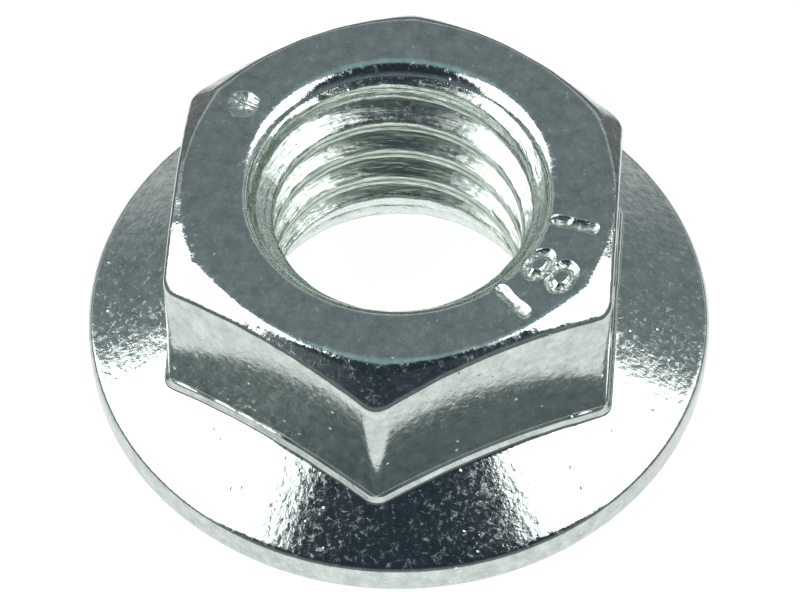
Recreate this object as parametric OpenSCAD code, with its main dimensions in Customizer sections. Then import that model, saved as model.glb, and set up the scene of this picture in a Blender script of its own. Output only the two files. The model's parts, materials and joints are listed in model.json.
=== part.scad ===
// Hexagon nut with a conical flange, cold formed from one steel blank, then tapped and plated.
// The origin is the centre of the bearing face. The thread's axis is +Z, and two corners of
// the hexagon lie on the Y axis. The bore is drawn at the thread's crests.

/* [Thread] */
// Nominal diameter of the thread
thread_d = 10; // [8:0.5:11]
// Pitch of the thread
thread_pitch = 1.5; // [1:0.25:2]

/* [Hexagon] */
// Width across two opposite flats
across_flats = 15; // [14:0.5:18]
// Height from the bearing face to the top face
nut_h = 8.4; // [7:0.1:12]
// Rounding of the formed corners
corner_r = 0.7; // [0.3:0.1:1]

/* [Top chamfer] */
// How far inside the flats the chamfer meets the top face
chamfer_inset = 0.3; // [0.2:0.05:1]
// Slope of the chamfer below the top face
chamfer_angle = 42; // [25:1:45]
// Rounding between the top face and the chamfer
crown_r = 0.2; // [0.1:0.05:0.5]

/* [Flange] */
// Diameter of the flange
flange_d = 21.8; // [20.5:0.1:26]
// Height of the rim, from the bearing face to where the cone starts
rim_h = 1.3; // [0.9:0.1:2]
// Slope of the flange's upper side
flange_angle = 23; // [15:1:28]
// Rounding of the rim's lower edge
rim_foot_r = 0.35; // [0.1:0.05:0.4]
// Rounding of the rim's upper edge
rim_brow_r = 0.3; // [0.1:0.05:0.4]

/* [Foot lip] */
// How far the lip at the foot of the hexagon stands out from the flats
lip_w = 0.17; // [0.1:0.01:0.4]
// How high the lip stands above the flange's cone
lip_h = 0.34; // [0.2:0.02:0.6]
// Rounding of the lip's corners
lip_corner_r = 0.8; // [0.3:0.1:1]

/* [Countersinks] */
// How much wider than the thread each end of the bore opens
csk_over = 0.4; // [0.2:0.1:1]
// Included angle of each countersink
csk_angle = 52; // [46:1:90]
// Rounding of each countersink's edge
csk_edge_r = 0.35; // [0.1:0.05:0.5]

/* [Hidden] */
$fn = 96;

// Angle at which a rounding runs out into the face beside it
run_out = 6;
// How far a cutting or limiting shape reaches past the piece
past = 2;

// Radii of the bore's parts; a tap leaves its crests at nominal diameter less one pitch
bore_r = (thread_d - thread_pitch) / 2;
csk_r = (thread_d + csk_over) / 2;
csk_h = (csk_r - bore_r) / tan(csk_angle / 2);

// The chamfer, and its rounding as far as the flat ring beside the countersink allows
land_r = across_flats / 2 - chamfer_inset;
chamfer_reach = across_flats / 2 / cos(30) + past;
chamfer_end_h = nut_h - (chamfer_reach - land_r) * tan(chamfer_angle);
crown_fit_r = min(crown_r, (land_r - csk_r) / tan(chamfer_angle / 2) / 2);

// The flange's cone, and the lip that follows it round the hexagon
flange_r = flange_d / 2;
cone_rise = tan(flange_angle);
lip_flats = across_flats + 2 * lip_w;
lip_reach = lip_flats / 2 / cos(30) + past;
hex_foot_h = rim_h / 2;

// Height of the flange's cone at a radius
function cone_h(r) = rim_h + (flange_r - r) * cone_rise;

// Unit vector at an angle in the profile's plane
function heading(a) = [cos(a), sin(a)];

// What a rounding takes off a profile's corner, between faces whose outward normals are given
module corner_scrap(corner, normal_a, normal_b, r) {
    middle = (normal_a + normal_b) / 2;
    half_turn = abs(normal_b - normal_a) / 2;
    centre = corner - r * cos(run_out) / cos(half_turn) * heading(middle);
    reach = 2 * r;
    difference() {
        polygon([
            centre,
            centre + reach * heading(normal_a),
            centre + reach / cos(half_turn) * heading(middle),
            centre + reach * heading(normal_b)
        ]);
        translate(centre) circle(r);
    }
}

// Six-sided prism with rounded corners, two of them on the Y axis, standing in the flange
module hex_prism(flats, top_h, round_r) {
    sharp_r = flats / 2 / cos(30);
    translate([0, 0, hex_foot_h]) linear_extrude(top_h - hex_foot_h) difference() {
        polygon([for (i = [0:5]) sharp_r * heading(30 + 60 * i)]);
        for (i = [0:5]) rotate(30 + 60 * i) corner_scrap([sharp_r, 0], -30, 30, round_r);
    }
}

// Turned limit of the hexagon: top face, rounded crown and chamfer
module crown_limit() {
    rotate_extrude() difference() {
        polygon([
            [0, 0],
            [chamfer_reach, 0],
            [chamfer_reach, chamfer_end_h],
            [land_r, nut_h],
            [0, nut_h]
        ]);
        corner_scrap([land_r, nut_h], 90, 90 - chamfer_angle, crown_fit_r);
    }
}

// Flange: bearing face, rounded rim and cone
module flange() {
    rotate_extrude() difference() {
        polygon([[0, 0], [flange_r, 0], [flange_r, rim_h], [0, cone_h(0)]]);
        corner_scrap([flange_r, 0], -90, 0, rim_foot_r);
        corner_scrap([flange_r, rim_h], 0, 90 - flange_angle, rim_brow_r);
    }
}

// Lip where the two forming dies met, higher at the flats and lower at the corners
module foot_lip() {
    intersection() {
        hex_prism(lip_flats, nut_h, lip_corner_r);
        rotate_extrude() polygon([
            [0, 0],
            [lip_reach, 0],
            [lip_reach, cone_h(lip_reach) + lip_h],
            [0, cone_h(0) + lip_h]
        ]);
    }
}

// Bore at the thread's crests, opened by a countersink with a rounded edge at each end
module bore() {
    csk_lean = csk_angle / 2;
    rotate_extrude() {
        polygon([
            [0, -past],
            [csk_r, -past],
            [csk_r, 0],
            [bore_r, csk_h],
            [bore_r, nut_h - csk_h],
            [csk_r, nut_h],
            [csk_r, nut_h + past],
            [0, nut_h + past]
        ]);
        corner_scrap([csk_r, nut_h], 90, 180 - csk_lean, csk_edge_r);
        corner_scrap([csk_r, 0], 180 + csk_lean, 270, csk_edge_r);
    }
}

module flange_nut() {
    color("#aab2b0") difference() {
        union() {
            flange();
            foot_lip();
            intersection() {
                hex_prism(across_flats, nut_h + past, corner_r);
                crown_limit();
            }
        }
        bore();
    }
}

flange_nut();
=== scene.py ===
import json
import math
import bpy
import numpy as np
from mathutils import Matrix, Vector, noise


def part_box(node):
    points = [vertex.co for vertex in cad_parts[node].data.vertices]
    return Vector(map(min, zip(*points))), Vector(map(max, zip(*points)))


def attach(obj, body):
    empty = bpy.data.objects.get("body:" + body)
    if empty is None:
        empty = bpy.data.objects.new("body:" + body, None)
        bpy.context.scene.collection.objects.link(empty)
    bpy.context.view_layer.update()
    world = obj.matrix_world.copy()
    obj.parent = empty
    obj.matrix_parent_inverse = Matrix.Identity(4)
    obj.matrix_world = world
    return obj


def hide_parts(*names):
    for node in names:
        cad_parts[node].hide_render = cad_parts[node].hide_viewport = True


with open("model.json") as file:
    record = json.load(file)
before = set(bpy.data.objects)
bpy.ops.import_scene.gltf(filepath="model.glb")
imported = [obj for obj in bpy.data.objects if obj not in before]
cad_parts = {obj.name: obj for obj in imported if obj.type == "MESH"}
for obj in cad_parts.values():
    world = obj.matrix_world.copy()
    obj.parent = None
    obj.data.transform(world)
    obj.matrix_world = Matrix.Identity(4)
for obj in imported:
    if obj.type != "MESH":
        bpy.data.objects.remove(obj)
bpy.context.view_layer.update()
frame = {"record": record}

# Flange nut
# A hexagon nut with its washer formed on as a conical flange. It is one steel blank, cold formed
# between dies, then tapped by a forming tap and plated all over with bright zinc.
# The mesh is one closed skin: rings of points round the axis, with sizes in millimetres.
mm = 0.001
nut_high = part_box("flange_nut")[1]
mounts = {mount["name"]: mount for mount in frame["record"]["mounts"]}

# Outer sizes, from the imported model
flange_r = nut_high.x / mm
nut_h = nut_high.z / mm
flat_r = mounts["wrench_hexagon"]["pos_m"][0] / mm
crest_r = mounts["thread"]["dims"]["r_mm"]
wall_h = mounts["thread"]["dims"]["length_mm"]

# Rim and cone of the flange
rim_h = 1.3
rim_foot_round = 0.35
rim_brow_round = 0.3
flange_slope = math.tan(math.radians(23))

# Foot lip: a bead of flash pressed out where the two dies met
lip_w = 0.17
lip_foot_round = 0.2
lip_brow_w = 0.08
lip_brow_h = 0.25
lip_brow_round = 0.08
lip_h = 0.3
lip_corner_round = 0.6

# Hexagon: it sits a little off the axis, and the dies fill its corners well only at the foot
corner_turn = 30
off_centre = (-0.05, -0.065, 0)
foot_round = 0.03
corner_round_foot = 0.15
corner_round_low, low_h = 0.5, 3.8
corner_round_waist, waist_h = 0.8, 5.0
corner_round_top = 0.85

# Chamfer: it starts further out at the corners, and the edge below it drops by its own amount at each
# corner and at the middle of each flat
crease_flat_r = 7.22
crease_corner_r = 7.46
chamfer_foot_h = 8.08
chamfer_fall = 0.757
corner_drops = (0, 0, 0, -0.3, -0.08, -0.45)
flat_drops = (0.03, 0.06, 0, 0.05, 0.28, 0.2)
edge_round = 0.32
crease_flat_round = 0.35
crease_corner_round = 0.9

# Countersinks
csk_slope = math.tan(math.radians(26))
csk_h = (nut_h - wall_h) / 2
csk_r = crest_r + csk_h * csk_slope
csk_foot_round = 0.35
csk_brow_round = 0.7

# Stamped marks: their places round the axis and how far they reach to each side, in degrees
class_mark_turn, class_mark_reach = -31, 25
mark_bar_turns = (-11.3, -47.5)
dimple_turn, dimple_reach = 151, 8


def mark_near(turn):
    """Says whether an angle lies under the strength mark or the dimple."""
    from_class = (turn - class_mark_turn + 180) % 360 - 180
    from_dimple = (turn - dimple_turn + 180) % 360 - 180
    return abs(from_class) < class_mark_reach or abs(from_dimple) < dimple_reach


def walk(start, stop, fine, coarse):
    """Angles from start up to stop, closer together under the marks; stop itself is left out."""
    turns = [start]
    while turns[-1] < stop:
        turns.append(turns[-1] + (fine if mark_near(turns[-1]) else coarse))
    return start + (np.array(turns[:-1]) - start) * (stop - start) / (turns[-1] - start)


# Columns of the skin: each flat from corner to corner, in degrees from the flat's middle, with columns
# gathered in the rounded corners and under the marks
strip_edge = 28.0
corner_steps = (corner_turn, 29.6, 29.2, 28.8, 28.4, strip_edge, 27.7)
fine_step, coarse_step = 0.45, 1.2
flat_number = []
off_flat = []
for flat in range(6):
    middle = 2 * corner_turn * flat
    start, stop = middle - corner_steps[-1], middle + corner_steps[-1]
    turns = [-step for step in corner_steps[:-1]]
    turns += [turn - middle for turn in walk(start, stop, fine_step, coarse_step)]
    turns += reversed(corner_steps[1:])
    off_flat += turns
    flat_number += [flat] * len(turns)
flat_number = np.array(flat_number)
flat_middle = 2.0 * corner_turn * flat_number
off_flat = np.array(off_flat, float)
column_turn = np.radians(flat_middle + off_flat)


def ring(turn, radius, height):
    """One ring of points, a point for each column."""
    return np.stack([radius * np.cos(turn), radius * np.sin(turn), height + 0 * turn], axis=-1)


def round_ring(radius, height):
    return ring(column_turn, radius, height)


def hexagon_ring(flats_at, corner_round, height_at):
    """A ring round a hexagon with rounded corners; its height follows its radius."""
    half_flat = (flats_at - corner_round) * math.tan(math.radians(corner_turn))
    edge = math.degrees(math.atan(half_flat / flats_at))
    off = np.interp(np.abs(off_flat), [0, strip_edge, corner_turn], [0, edge, corner_turn])
    off *= np.sign(off_flat)
    from_corner = np.radians(corner_turn - np.abs(off))
    centre_r = (flats_at - corner_round) / math.cos(math.radians(corner_turn))
    beside = np.minimum(centre_r * np.sin(from_corner), corner_round)
    arc = centre_r * np.cos(from_corner) + np.sqrt(corner_round ** 2 - beside ** 2)
    radius = np.where(np.abs(off) <= edge, flats_at / np.cos(np.radians(off)), arc)
    return ring(np.radians(flat_middle + off), radius, height_at(radius)) + np.array(off_centre)


def roughly(points, size, seed):
    """Smooth noise from about -1 to 1 at each point, with lumps of a size in millimetres."""
    flat = points.reshape(-1, 3) / size + seed
    return np.array([noise.noise(Vector(p)) for p in flat]).reshape(points.shape[:-1])


def wavy(points, size, outwards, upwards, seed):
    """A ring swayed outwards and upwards by smooth noise, as worn dies leave an edge."""
    x, y, z = np.moveaxis(points, -1, 0)
    sway = roughly(points, size, seed)
    swell = 1 + outwards * sway / np.hypot(x, y)
    return np.stack([x * swell, y * swell, z + upwards * sway], axis=-1)


def cone_h(radius):
    return rim_h + (flange_r - radius) * flange_slope


def lip_top_h(radius):
    return cone_h(radius) + lip_brow_h


def hexagon_foot_h(radius):
    return cone_h(radius) + lip_h


def chamfer_h(radius):
    """Height of the chamfer's lower edge, which drops towards the corners."""
    share = off_flat / corner_turn
    drop = np.array(corner_drops)[flat_number - 1] * (1 - share) / 2
    drop += np.array(corner_drops)[flat_number] * (1 + share) / 2
    drop += np.array(flat_drops)[flat_number] * (1 - share ** 2)
    return chamfer_foot_h - (radius - flat_r) * chamfer_fall - drop


def level(height):
    return lambda radius: height + 0 * radius


# The outside from the lower countersink round to the upper one: corners of its section, each with its
# rounding, the steps round it, the steps on to the next corner and how grainy the side up to there is
to_corner = (off_flat / corner_turn) ** 2
crease_r = crease_flat_r + (crease_corner_r - crease_flat_r) * to_corner
crease_round = crease_flat_round + (crease_corner_round - crease_flat_round) * to_corner
lip_foot = hexagon_ring(flat_r + lip_w, lip_corner_round, cone_h)
lip_brow = hexagon_ring(flat_r + lip_brow_w, lip_corner_round, lip_top_h)
hexagon_foot = hexagon_ring(flat_r, corner_round_foot, hexagon_foot_h)
hexagon_edge = hexagon_ring(flat_r, corner_round_top, chamfer_h)
crease = round_ring(crease_r, nut_h)
outline = [
    (round_ring(crest_r, csk_h), 0, 0, 0, 0.5),
    (round_ring(csk_r, 0), csk_foot_round, 5, 5, 0.5),
    (round_ring(flange_r, 0), rim_foot_round, 6, 2, 0.4),
    (round_ring(flange_r, rim_h), rim_brow_round, 6, 9, 0.75),
    (wavy(lip_foot, size=0.9, outwards=0.03, upwards=0, seed=2.0), lip_foot_round, 5, 2, 0.3),
    (wavy(lip_brow, size=0.9, outwards=0.02, upwards=0.03, seed=2.0), lip_brow_round, 4, 1, 0.3),
    (hexagon_foot, foot_round, 3, 2, 0.4),
    (hexagon_ring(flat_r, corner_round_low, level(low_h)), 0, 0, 2, 0.4),
    (hexagon_ring(flat_r, corner_round_waist, level(waist_h)), 0, 0, 3, 0.4),
    (wavy(hexagon_edge, size=0.7, outwards=0, upwards=0.05, seed=4.0), edge_round, 5, 5, 0.9),
    (wavy(crease, size=0.8, outwards=0.03, upwards=0, seed=6.0), crease_round, 7, 25, 0.75),
    (round_ring(csk_r, nut_h), csk_brow_round, 9, 0, 0.7),
    (round_ring(crest_r, nut_h - csk_h), 0, 0, 0, 0.6),
]


def unit(vectors):
    return vectors / np.linalg.norm(vectors, axis=-1, keepdims=True)


def rounded(before, corner, after, radius, steps):
    """Rings of an arc that rounds a corner of the section, from the side before it to the side after."""
    if not np.any(radius):
        return [corner]
    radius = np.reshape(radius, (-1, 1))
    to_before, to_after = unit(before - corner), unit(after - corner)
    half = np.arccos(np.clip((to_before * to_after).sum(-1, keepdims=True), -1, 1)) / 2
    centre = corner + unit(to_before + to_after) * radius / np.sin(half)
    first = unit(corner + to_before * radius / np.tan(half) - centre)
    last = corner + to_after * radius / np.tan(half) - centre
    across = unit(last - first * (last * first).sum(-1, keepdims=True))
    sweep = [(math.pi - 2 * half) * step / steps for step in range(steps + 1)]
    return [centre + radius * (np.cos(a) * first + np.sin(a) * across) for a in sweep]


# Rings on the straight sides, with one close to each end to hold the smooth shading there
hold_part = 0.3
outside = []
graininess = []
side_steps = 0
for before, here, after in zip(outline, outline[1:], outline[2:]):
    side_grain = before[-1]
    corner, radius, arc_steps, next_steps, next_grain = here
    arc = rounded(before[0], corner, after[0], radius, arc_steps)
    if side_steps > 1:
        hold = hold_part / side_steps
        shares = [hold] + [step / side_steps for step in range(1, side_steps)] + [1 - hold]
        outside += [side_start + (arc[0] - side_start) * share for share in shares]
        graininess += [side_grain] * len(shares)
    outside += arc
    graininess += list(np.linspace(side_grain, next_grain, len(arc)))
    side_start = arc[-1]
    side_steps = next_steps
outside = np.array(outside)

# Stamped marks
# The strength class, a plain numeral between two bars, and a round dimple across from it, struck cold
# into the top face by the header's punch. The grooves stay rough, because the punch tears the steel.
mark_depth = 0.19
bar_from, bar_to = 5.25, 7.0
bar_half_w = 0.25
loop_middles = (5.74, 6.66)
loop_long, loop_short = 0.52, 0.36
loop_half_w = 0.2
dimple_r_from_axis = 6.35
dimple_half_w = 0.6
mark_reach_h = 0.12
ragged_by, ragged_lump = 0.05, 0.3
groove_roundness = 0.3
groove_torn_by, groove_torn_lump = 0.35, 0.18


def mark_frame(points, turn):
    """Distances outwards and sideways of points, as seen from the axis along an angle."""
    c, s = math.cos(math.radians(turn)), math.sin(math.radians(turn))
    return points[..., 0] * c + points[..., 1] * s, points[..., 1] * c - points[..., 0] * s


def bar_share(points, turn):
    """How deep in a bar's groove points lie, from 0 at its edge to 1 along its middle."""
    out, side = mark_frame(points, turn)
    past = out - np.clip(out, bar_from + bar_half_w, bar_to - bar_half_w)
    return 1 - np.hypot(past, side) / bar_half_w


def loop_share(points, middle):
    """The same for one loop of the numeral."""
    out, side = mark_frame(points, class_mark_turn)
    reach = np.hypot((out - middle) / loop_short, side / loop_long)
    return 1 - np.abs(reach - 1) * (loop_short + loop_long) / 2 / loop_half_w


def dimple_share(points):
    """The same for the dimple."""
    out, side = mark_frame(points, dimple_turn)
    return 1 - np.hypot(out - dimple_r_from_axis, side) / dimple_half_w


on_top = outside[..., 2] > nut_h - mark_reach_h
ragged = outside + ragged_by * roughly(outside, ragged_lump, seed=9.0)[..., None]
struck = np.maximum.reduce(
    [bar_share(ragged, turn) for turn in mark_bar_turns]
    + [loop_share(ragged, middle) for middle in loop_middles]
    + [dimple_share(ragged)]
)
struck = np.clip(struck, 0, 1) * on_top
groove_share = struck * (1 + groove_roundness - groove_roundness * struck)
torn_floor = 1 + groove_torn_by * roughly(outside, groove_torn_lump, seed=3.0)
outside[..., 2] -= mark_depth * groove_share * torn_floor

# Thread
# A right-hand M10 thread, formed by a tap that presses the steel up from both sides, so that each
# crest keeps a shallow seam along its middle. The countersinks cut its first and last turns short.
pitch = 1.5
root_r = 5.0
root_from, root_rise = 0.66, 0.03
crest_half_w, crest_fall = 0.22, 0.02
seam_depth, seam_half_w = 0.05, 0.12
seam_floor_half_m_w, seam_floor_share = 0.05, 0.8
crest_h, crest_turn = 6.24, 94.9
land_fade = 0.3
lower_csk_slope = 0.41

# Half of the thread's section, as distance from the crest's middle and radius, and the rows of the skin,
# which lie closest together on the crest
thread_section = [
    (0, crest_r + seam_depth),
    (seam_floor_half_m_w, crest_r + seam_floor_share * seam_depth),
    (seam_half_w, crest_r),
    (crest_half_w, crest_r + crest_fall),
    (root_from, root_r - root_rise),
    (pitch / 2, root_r),
]
section_at, section_r = np.transpose(thread_section)
thread_steps = np.array([0, 0.06, 0.12, 0.18, crest_half_w, 0.29, 0.41, 0.53, 0.65])
phases = np.concatenate([thread_steps, [pitch / 2], pitch - thread_steps[:0:-1]]) / pitch


def bore_wall(turn, height):
    """Radius of the bore: the thread's groove, and the countersinks that open it at both ends.

    Where the upper countersink cuts a crest, the land that is left of it stands upright.
    """
    helix_h = crest_h + pitch * (turn - math.radians(crest_turn)) / math.tau
    from_crest = (height - helix_h + pitch / 2) % pitch - pitch / 2
    groove = np.interp(np.abs(from_crest), section_at, section_r)
    upright = np.clip((crest_half_w + land_fade - from_crest) / land_fade, 0, 1)
    upright *= from_crest > -crest_half_w
    land_foot = height - (from_crest + crest_half_w) * upright
    upper = csk_r - (nut_h - land_foot) * csk_slope
    lower = csk_r - height * lower_csk_slope
    return np.maximum(np.maximum(groove, upper), lower)


# Heights of the bore's rows, with turns to spare past both of its ends
lower_h, upper_h = outside[0, 0, 2], outside[-1, 0, 2]
columns = len(column_turn)
spare_turns = 3
turns_needed = math.ceil((upper_h - lower_h) / pitch) + spare_turns
steps = np.concatenate([phases + turn for turn in range(turns_needed)])
first_h = crest_h - pitch * crest_turn / 360
first_h -= pitch * math.ceil((first_h - lower_h) / pitch + 1)
heights = first_h + pitch * (steps[:, None] + column_turn[None, :] / math.tau)

# Rows of the bore follow the helix. A row that would pass an end of the bore stops at that end's ring,
# and after one turn each row runs into the row one pitch above it.
snap = 0.015
outside_index = np.arange(outside.shape[0] * columns).reshape(-1, columns)
bore_turn = np.broadcast_to(column_turn, heights.shape)
free = (heights > lower_h + snap) & (heights < upper_h - snap)
bore_index = np.where(heights < nut_h / 2, outside_index[0], outside_index[-1])
bore_index[free] = outside_index.size + np.arange(free.sum())
bore = ring(bore_turn[free], bore_wall(bore_turn[free], heights[free]), heights[free])

# The tap smears and flakes the steel, most in the roots and not at the ends of the bore
smears_per_mm = np.array([1.6, 1.6, 6.0])
flake_by, flake_lump = 0.6, 0.25
crest_torn_by, root_torn_by = 0.012, 0.02
calm_end_h = 0.25
torn = roughly(bore * smears_per_mm, 1.0, seed=11.0) + flake_by * roughly(bore, flake_lump, seed=5.0)
depth_share = np.clip((np.hypot(bore[:, 0], bore[:, 1]) - crest_r) / (root_r - crest_r), 0, 1)
end_share = np.clip(np.minimum(bore[:, 2] - lower_h, upper_h - bore[:, 2]) / calm_end_h, 0, 1)
torn_by = crest_torn_by + root_torn_by * depth_share
bore[:, :2] *= (1 + torn_by * torn * end_share / crest_r)[:, None]

# A ragged burr hangs from the upper countersink's edge, turned over by the tap on its way out
burr_h, burr_half_h = 0.14, 0.1
burr_w, burr_lump = 0.06, 0.5
burr_usual, burr_most = 0.6, 1.2
burr_share = np.clip(1 - np.abs(upper_h - burr_h - bore[:, 2]) / burr_half_h, 0, 1)
burr = burr_w * burr_share * np.clip(burr_usual + roughly(bore, burr_lump, seed=21.0), 0, burr_most)
bore[:, :2] *= (1 - burr / np.hypot(bore[:, 0], bore[:, 1]))[:, None]

# The skin's faces lie between each column and the one beside it
bore_beside = np.roll(bore_index, -1, axis=1)
one_pitch_up = np.minimum(np.arange(len(heights)) + len(phases), len(heights) - 1)
bore_beside[:, -1] = bore_index[one_pitch_up, 0]
outside_beside = np.roll(outside_index, -1, axis=1)


def cells(index, beside):
    """Four-cornered faces between neighbouring rows and columns."""
    return np.stack([index[:-1], beside[:-1], beside[1:], index[1:]], axis=-1).reshape(-1, 4)


# Each corner of a face also keeps its line in the table of flow below, which has one for every point of
# the outside and one for every crossing of a row and a column in the bore. A corner that a face would
# have twice, where a row stops at an end of the bore, counts once.
flow_index = outside_index.size + np.arange(bore_index.size).reshape(bore_index.shape)
flow_beside = np.roll(flow_index, -1, axis=1)
flow_beside[:, -1] = flow_index[one_pitch_up, 0]
outside_cells = cells(outside_index, outside_beside)
point_cells = np.concatenate([outside_cells, cells(bore_index, bore_beside)[:, ::-1]]).tolist()
flow_cells = np.concatenate([outside_cells, cells(flow_index, flow_beside)[:, ::-1]]).tolist()
faces = [dict(zip(corners, lines)) for corners, lines in zip(point_cells, flow_cells)]
faces = [face for face in faces if len(face) > 2]
points = np.concatenate([outside.reshape(-1, 3), bore])
skin = bpy.data.meshes.new("flange_nut_skin")
skin.from_pydata((points * mm).tolist(), [], [list(face) for face in faces])
skin.shade_smooth()
nut = bpy.data.objects.new("plated_flange_nut", skin)
bpy.context.scene.collection.objects.link(nut)

# How the steel flowed, for the plating's streaks: on the outside round the axis and along the section, in
# the bore round the thread's own section and along its helix
along_section = np.cumsum(np.linalg.norm(np.diff(outside, axis=0, prepend=outside[:1]), axis=-1), axis=0)
thread_phase = np.broadcast_to(math.tau * steps[:, None], heights.shape)
helix_turn = bore_turn + math.tau * np.floor(steps)[:, None]
flow = np.concatenate([
    ring(np.broadcast_to(column_turn, along_section.shape), flat_r, along_section).reshape(-1, 3),
    ring(thread_phase, pitch / math.tau, crest_r * helix_turn).reshape(-1, 3),
])
corner_flow = flow[[line for face in faces for line in face.values()]].astype(np.float32)
skin.attributes.new("flow", "FLOAT_VECTOR", "CORNER").data.foreach_set("vector", corner_flow.ravel())

# How grainy the dies left each side, and how torn the steel is in the thread and in the stamped grooves;
# the countersinks are cut cleaner
bore_grain = 0.8
groove_tear = 1.6
lower_edge_tear, upper_edge_tear = 0.25, 0.4
lower_csk_clean, upper_csk_clean = 0.75, 0.4
csk_fade = 0.15
grain = np.concatenate([np.repeat(graininess, columns), np.full(len(bore), bore_grain)])
skin.attributes.new("grain", "FLOAT", "POINT").data.foreach_set("value", grain.astype(np.float32))
bore_r = np.hypot(bore[:, 0], bore[:, 1])
in_lower = np.clip(1 - (bore_r - csk_r + bore[:, 2] * lower_csk_slope) / csk_fade, 0, 1)
in_upper = np.clip(1 - (bore_r - csk_r + (nut_h - bore[:, 2]) * csk_slope) / csk_fade, 0, 1)
bore_tear = 1 - lower_csk_clean * in_lower - upper_csk_clean * in_upper
outside_tear = groove_tear * groove_share
outside_tear[0] = lower_edge_tear
outside_tear[-1] = upper_edge_tear
tear = np.concatenate([outside_tear.ravel(), bore_tear])
skin.attributes.new("tear", "FLOAT", "POINT").data.foreach_set("value", tear.astype(np.float32))


def add_node(tree, kind, inputs=None, **settings):
    """Adds a node; settings are its properties, inputs are values for its sockets or sockets to link."""
    node = tree.nodes.new(kind)
    for name, value in settings.items():
        setattr(node, name, value)
    for name, value in (inputs or {}).items():
        if isinstance(value, bpy.types.NodeSocket):
            tree.links.new(value, node.inputs[name])
        else:
            node.inputs[name].default_value = value
    return node


def linear(colour):
    """Linear RGBA of an sRGB hex colour."""
    shares = [int(colour[i:i + 2], 16) / 255 for i in (1, 3, 5)]
    return [s / 12.92 if s <= 0.04045 else ((s + 0.055) / 1.055) ** 2.4 for s in shares] + [1.0]


# Bright zinc plate, electroplated over cold-formed steel and passivated clear: a near mirror with a cold
# green-grey cast, broken by a fine ripple that frosts the edges of what it reflects. Real ripple, crystals
# and pits measure hundredths of a millimetre and are drawn coarser here, so that they show.
zinc = bpy.data.materials.new("bright_zinc_plate")
zinc.use_nodes = True
tree = zinc.node_tree
tree.nodes.clear()
ripple_mm = 0.28
hair_mm = 0.08
hair_stretch = 0.1
frost_mm = 0.2
pit_mm = 0.55
cloud_mm = 0.5
relief_mm = 0.014
place = add_node(tree, "ShaderNodeTexCoord")
place = add_node(tree, "ShaderNodeVectorMath", {0: place.outputs["Object"], "Scale": 1 / mm},
                 operation="SCALE")
flow_line = add_node(tree, "ShaderNodeAttribute", attribute_name="flow")
grainy = add_node(tree, "ShaderNodeAttribute", attribute_name="grain")
torn_steel = add_node(tree, "ShaderNodeAttribute", attribute_name="tear")

# Ripple of the dies, strongest on the chamfer, and hair lines along the way the steel flowed, deep only
# where it is torn
ripple = add_node(tree, "ShaderNodeTexNoise",
                  {"Vector": place.outputs[0], "Scale": 1 / ripple_mm, "Detail": 3, "Roughness": 0.55})
ripple_share = add_node(tree, "ShaderNodeMath", {0: ripple.outputs[0], 1: grainy.outputs["Fac"]},
                        operation="MULTIPLY")
hair_line = add_node(tree, "ShaderNodeVectorMath",
                     {0: flow_line.outputs["Vector"], 1: (1, 1, hair_stretch)}, operation="MULTIPLY")
hair = add_node(tree, "ShaderNodeTexNoise",
                {"Vector": hair_line.outputs[0], "Scale": 1 / hair_mm, "Detail": 2, "Roughness": 0.5})
hair = add_node(tree, "ShaderNodeMath", {0: hair.outputs[0], 1: 0.5}, operation="SUBTRACT")
hair_depth = add_node(tree, "ShaderNodeMapRange",
                      {"Value": torn_steel.outputs["Fac"], "To Min": 0.1, "To Max": 3.7})
relief = add_node(tree, "ShaderNodeMath",
                  {0: hair.outputs[0], 1: hair_depth.outputs[0], 2: ripple_share.outputs[0]},
                  operation="MULTIPLY_ADD")

# Pits left by scale and grit in the dies, one in some of the cells only, deepest where the dies were smooth
pit = add_node(tree, "ShaderNodeTexVoronoi", {"Vector": place.outputs[0], "Scale": 1 / pit_mm})
pit_here = add_node(tree, "ShaderNodeMapRange",
                    {"Value": pit.outputs["Color"], "From Min": 0.5, "From Max": 0.56})
smoothness = add_node(tree, "ShaderNodeMath", {0: 1.2, 1: grainy.outputs["Fac"]}, operation="SUBTRACT")
pit_here = add_node(tree, "ShaderNodeMath", {0: pit_here.outputs[0], 1: smoothness.outputs[0]},
                    operation="MULTIPLY")
pit_bowl = add_node(tree, "ShaderNodeMapRange",
                    {"Value": pit.outputs["Distance"], "From Min": 0.0, "From Max": 0.14,
                     "To Min": -2.4, "To Max": 0}, interpolation_type="SMOOTHSTEP")
pit_depth = add_node(tree, "ShaderNodeMath", {0: pit_bowl.outputs[0], 1: pit_here.outputs[0]},
                     operation="MULTIPLY")
relief = add_node(tree, "ShaderNodeMath", {0: pit_depth.outputs[0], 1: relief.outputs[0]},
                  operation="ADD")
bump = add_node(tree, "ShaderNodeBump",
                {"Height": relief.outputs[0], "Distance": relief_mm * mm, "Strength": 1.0})

# Frost: crystals of zinc, rougher than the bright plate between them; torn steel is rough all over
frost = add_node(tree, "ShaderNodeTexNoise",
                 {"Vector": place.outputs[0], "Scale": 1 / frost_mm, "Detail": 3, "Roughness": 0.65,
                  "Distortion": 0.8})
frost = add_node(tree, "ShaderNodeMapRange",
                 {"Value": frost.outputs[0], "From Min": 0.45, "From Max": 0.88},
                 interpolation_type="SMOOTHSTEP")
frost_share = add_node(tree, "ShaderNodeMath", {0: frost.outputs[0], 1: grainy.outputs["Fac"]},
                       operation="MULTIPLY")
dulling = add_node(tree, "ShaderNodeMath", {0: frost_share.outputs[0], 1: 0.58, 2: 0.1},
                   operation="MULTIPLY_ADD")
dulling = add_node(tree, "ShaderNodeMath", {0: torn_steel.outputs["Fac"], 1: 0.18, 2: dulling.outputs[0]},
                   operation="MULTIPLY_ADD")

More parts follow.
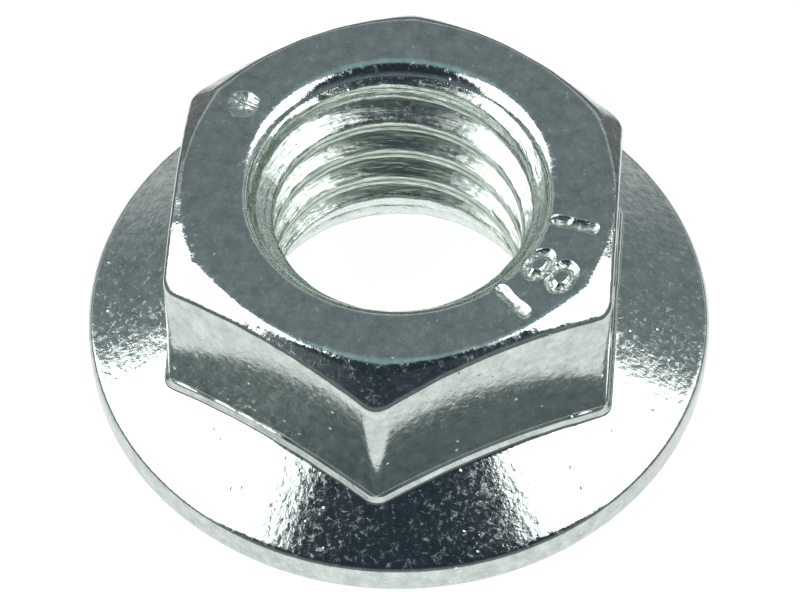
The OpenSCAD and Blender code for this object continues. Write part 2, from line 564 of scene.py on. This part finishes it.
# Colour: clouds in the plate, a light speck in each pit, and the duller steel of the torn places. A colour
# mix shares the names of its sockets with other kinds of mix, so they go by number.
mix_from, mix_to, mixed = 6, 7, 2
cloud = add_node(tree, "ShaderNodeTexNoise",
                 {"Vector": place.outputs[0], "Scale": 1 / cloud_mm, "Detail": 5, "Roughness": 0.75})
cloud = add_node(tree, "ShaderNodeMapRange",
                 {"Value": cloud.outputs[0], "From Min": 0.3, "From Max": 0.75})
plate = add_node(tree, "ShaderNodeMix",
                 {0: cloud.outputs[0], mix_from: linear("#b2beb9"), mix_to: linear("#e8efea")},
                 data_type="RGBA")
speck = add_node(tree, "ShaderNodeMapRange",
                 {"Value": pit_depth.outputs[0], "From Min": 0.0, "From Max": -1.0})
plate = add_node(tree, "ShaderNodeMix",
                 {0: speck.outputs[0], mix_from: plate.outputs[mixed], mix_to: linear("#fafcfa")},
                 data_type="RGBA")
plate = add_node(tree, "ShaderNodeMix",
                 {0: torn_steel.outputs["Fac"], mix_from: plate.outputs[mixed], mix_to: linear("#d0dbd2")},
                 data_type="RGBA")
shader = add_node(tree, "ShaderNodeBsdfPrincipled",
                  {"Base Color": plate.outputs[mixed], "Metallic": 1.0, "Roughness": dulling.outputs[0],
                   "Normal": bump.outputs[0]})
add_node(tree, "ShaderNodeOutputMaterial", {"Surface": shader.outputs[0]})
skin.materials.append(zinc)
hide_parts("flange_nut")
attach(nut, "root")

# Floor
# A sheet of plain white card under the nut and out of sight on all sides, a hair below the bearing face so
# that the two don't share a plane.
floor_half_m = 2.0
floor_drop_mm = 0.02
floor_mesh = bpy.data.meshes.new("floor")
floor_corners = [(-floor_half_m, -floor_half_m, 0), (floor_half_m, -floor_half_m, 0),
                 (floor_half_m, floor_half_m, 0), (-floor_half_m, floor_half_m, 0)]
floor_mesh.from_pydata(floor_corners, [], [(0, 1, 2, 3)])
floor = bpy.data.objects.new("floor", floor_mesh)
floor.location.z = -floor_drop_mm * mm
bpy.context.scene.collection.objects.link(floor)

# White card, overexposed as in a product photo: matt, with a glow of its own for what looks at it, so that
# the background is white and only the deepest part of the nut's shadow is left. What mirrors the card sees
# instead is a painted pool of light: a glow only round the nut, brightest under the bore.
card = bpy.data.materials.new("white_card_and_painted_light_pool")
card.use_nodes = True
tree = card.node_tree
tree.nodes.clear()
card_glow = 0.92
# Painted light: the pool that only reflections see, glowing round the nut and brightest under the bore
painted_pool_glow, painted_pool_inner_mm, painted_pool_outer_mm = 0.82, 18, 28
painted_bore_pool_glow, painted_bore_pool_inner_mm, painted_bore_pool_outer_mm = 1.15, 4.5, 7
looks = add_node(tree, "ShaderNodeLightPath")
painted_pool = add_node(tree, "ShaderNodeTexCoord")
from_axis = add_node(tree, "ShaderNodeVectorMath", {0: painted_pool.outputs["Object"]}, operation="LENGTH")
painted_pool = add_node(tree, "ShaderNodeMapRange",
                {"Value": from_axis.outputs["Value"], "From Min": painted_pool_inner_mm * mm,
                 "From Max": painted_pool_outer_mm * mm, "To Min": painted_pool_glow, "To Max": 0.0},
                interpolation_type="SMOOTHSTEP")
painted_pool = add_node(tree, "ShaderNodeMapRange",
                {"Value": from_axis.outputs["Value"], "From Min": painted_bore_pool_inner_mm * mm,
                 "From Max": painted_bore_pool_outer_mm * mm, "To Min": painted_bore_pool_glow, "To Max": painted_pool.outputs[0]},
                interpolation_type="SMOOTHSTEP")
# Only glossy rays see the painted pool of light
painted_pool_in_mirrors = add_node(tree, "ShaderNodeMath", {0: looks.outputs["Is Glossy Ray"], 1: painted_pool.outputs[0]},
                    operation="MULTIPLY")
seen = add_node(tree, "ShaderNodeMath",
                {0: looks.outputs["Is Camera Ray"], 1: card_glow, 2: painted_pool_in_mirrors.outputs[0]},
                operation="MULTIPLY_ADD")
glow = add_node(tree, "ShaderNodeEmission", {"Strength": seen.outputs[0]})
matt = add_node(tree, "ShaderNodeBsdfDiffuse", {"Color": linear("#80807f")})
both = add_node(tree, "ShaderNodeAddShader", {0: glow.outputs[0], 1: matt.outputs[0]})
add_node(tree, "ShaderNodeOutputMaterial", {"Surface": both.outputs[0]})
floor_mesh.materials.append(card)

# Camera
# It stands in front, 54 degrees above the floor, turned slightly to the right of the front corner.
camera_turn = 4.87
camera_rise = 53.66
camera_roll = -0.318
camera_far = 138.3
look_right, look_up = 0.048, 1.102
lens_px = 3907.8
image_w = 800
sensor_w = 36
turn = Matrix.Rotation(math.radians(camera_turn), 3, "Z")
rise = math.radians(camera_rise)
right = turn @ Vector((1, 0, 0))
up = turn @ Vector((0, math.sin(rise), math.cos(rise)))
back = turn @ Vector((0, -math.cos(rise), math.sin(rise)))
roll = Matrix.Rotation(math.radians(camera_roll), 3, back)
camera_data = bpy.data.cameras.new("camera")
camera_data.sensor_width = sensor_w
camera_data.lens = lens_px / image_w * sensor_w
camera_data.clip_start = 0.01
camera_data.clip_end = 100
camera = bpy.data.objects.new("camera", camera_data)
stand = Matrix((roll @ right, roll @ up, back)).transposed().to_4x4()
stand.translation = (right * look_right + up * look_up + back * camera_far) * mm
camera.matrix_world = stand
bpy.context.scene.collection.objects.link(camera)
bpy.context.scene.camera = camera

# Lights
# Two upright softboxes face each other across the nut, each given by how far round it reaches to the back
# and to the front of the nut's side and between which heights it stands, in degrees.
softbox_far_m = 0.3
softbox_radiance = 3.0


def softbox(name, side, to_back, to_front, low, high):
    """One upright softbox at the left (-1) or the right (1)."""
    y_back, y_front, z_low, z_high = [
        softbox_far_m * math.tan(math.radians(angle)) for angle in (to_back, -to_front, low, high)
    ]
    data = bpy.data.lights.new(name, "AREA")
    data.shape = "RECTANGLE"
    data.size = y_back - y_front
    data.size_y = z_high - z_low
    data.energy = softbox_radiance * math.pi * data.size * data.size_y
    lamp = bpy.data.objects.new(name, data)
    away = turn @ Vector((side, 0, 0))
    lamp.location = turn @ Vector((side * softbox_far_m, (y_back + y_front) / 2, (z_low + z_high) / 2))
    lamp.rotation_mode = "QUATERNION"
    lamp.rotation_quaternion = away.to_track_quat("Z", "Y")
    bpy.context.scene.collection.objects.link(lamp)


softbox("softbox_left", side=-1, to_back=31, to_front=31, low=20.5, high=69.4)
softbox("softbox_right", side=1, to_back=26, to_front=24, low=26, high=69.7)

# Room
# Grey walls under a paler ceiling, dark high up where the camera stands, with a strip of white paper low
# behind the nut.
world = bpy.data.worlds.new("studio")
bpy.context.scene.world = world
world.use_nodes = True
tree = world.node_tree
tree.nodes.clear()
heading = add_node(tree, "ShaderNodeTexCoord")
front = turn @ Vector((0, -1, 0))
forward = add_node(tree, "ShaderNodeVectorMath", {0: heading.outputs["Generated"], 1: front},
                   operation="DOT_PRODUCT")
height = add_node(tree, "ShaderNodeSeparateXYZ", {0: heading.outputs["Generated"]})

# The dark part and the ceiling
dark = add_node(tree, "ShaderNodeMapRange",
                {"Value": forward.outputs["Value"], "From Min": -0.06, "From Max": 0.17},
                interpolation_type="SMOOTHSTEP")
high = add_node(tree, "ShaderNodeMapRange",
                {"Value": height.outputs["Z"], "From Min": 0.17, "From Max": 0.75},
                interpolation_type="SMOOTHSTEP")
dark = add_node(tree, "ShaderNodeMath", {0: dark.outputs[0], 1: high.outputs[0]}, operation="MULTIPLY")
overhead = add_node(tree, "ShaderNodeMapRange",
                    {"Value": height.outputs["Z"], "From Min": 0.84, "From Max": 0.99},
                    interpolation_type="SMOOTHSTEP")
walls = add_node(tree, "ShaderNodeMix",
                 {0: overhead.outputs[0], mix_from: linear("#7d858a"), mix_to: linear("#96b0b8")},
                 data_type="RGBA")
walls = add_node(tree, "ShaderNodeMix",
                 {0: dark.outputs[0], mix_from: walls.outputs[mixed], mix_to: linear("#2d3743")},
                 data_type="RGBA")

# The strip of paper, faded out at its upper edge, towards the front and at its lower edge
low = add_node(tree, "ShaderNodeMapRange",
               {"Value": height.outputs["Z"], "From Min": 0.1, "From Max": 0.4, "To Min": 1, "To Max": 0},
               interpolation_type="SMOOTHSTEP")
behind = add_node(tree, "ShaderNodeMapRange",
                  {"Value": forward.outputs["Value"], "From Min": -0.3, "From Max": 0.1,
                   "To Min": 1, "To Max": 0}, interpolation_type="SMOOTHSTEP")
paper = add_node(tree, "ShaderNodeMath", {0: low.outputs[0], 1: behind.outputs[0]}, operation="MULTIPLY")
gap = add_node(tree, "ShaderNodeMapRange",
               {"Value": height.outputs["Z"], "From Min": 0.12, "From Max": 0.26},
               interpolation_type="SMOOTHSTEP")
paper = add_node(tree, "ShaderNodeMath", {0: paper.outputs[0], 1: gap.outputs[0]}, operation="MULTIPLY")
room = add_node(tree, "ShaderNodeMix",
                {0: paper.outputs[0], mix_from: walls.outputs[mixed], mix_to: linear("#ffffff")},
                data_type="RGBA")
sky = add_node(tree, "ShaderNodeBackground", {"Color": room.outputs[mixed], "Strength": 1.0})
add_node(tree, "ShaderNodeOutputWorld", {"Surface": sky.outputs[0]})

bpy.context.scene.view_settings.view_transform = "Standard"
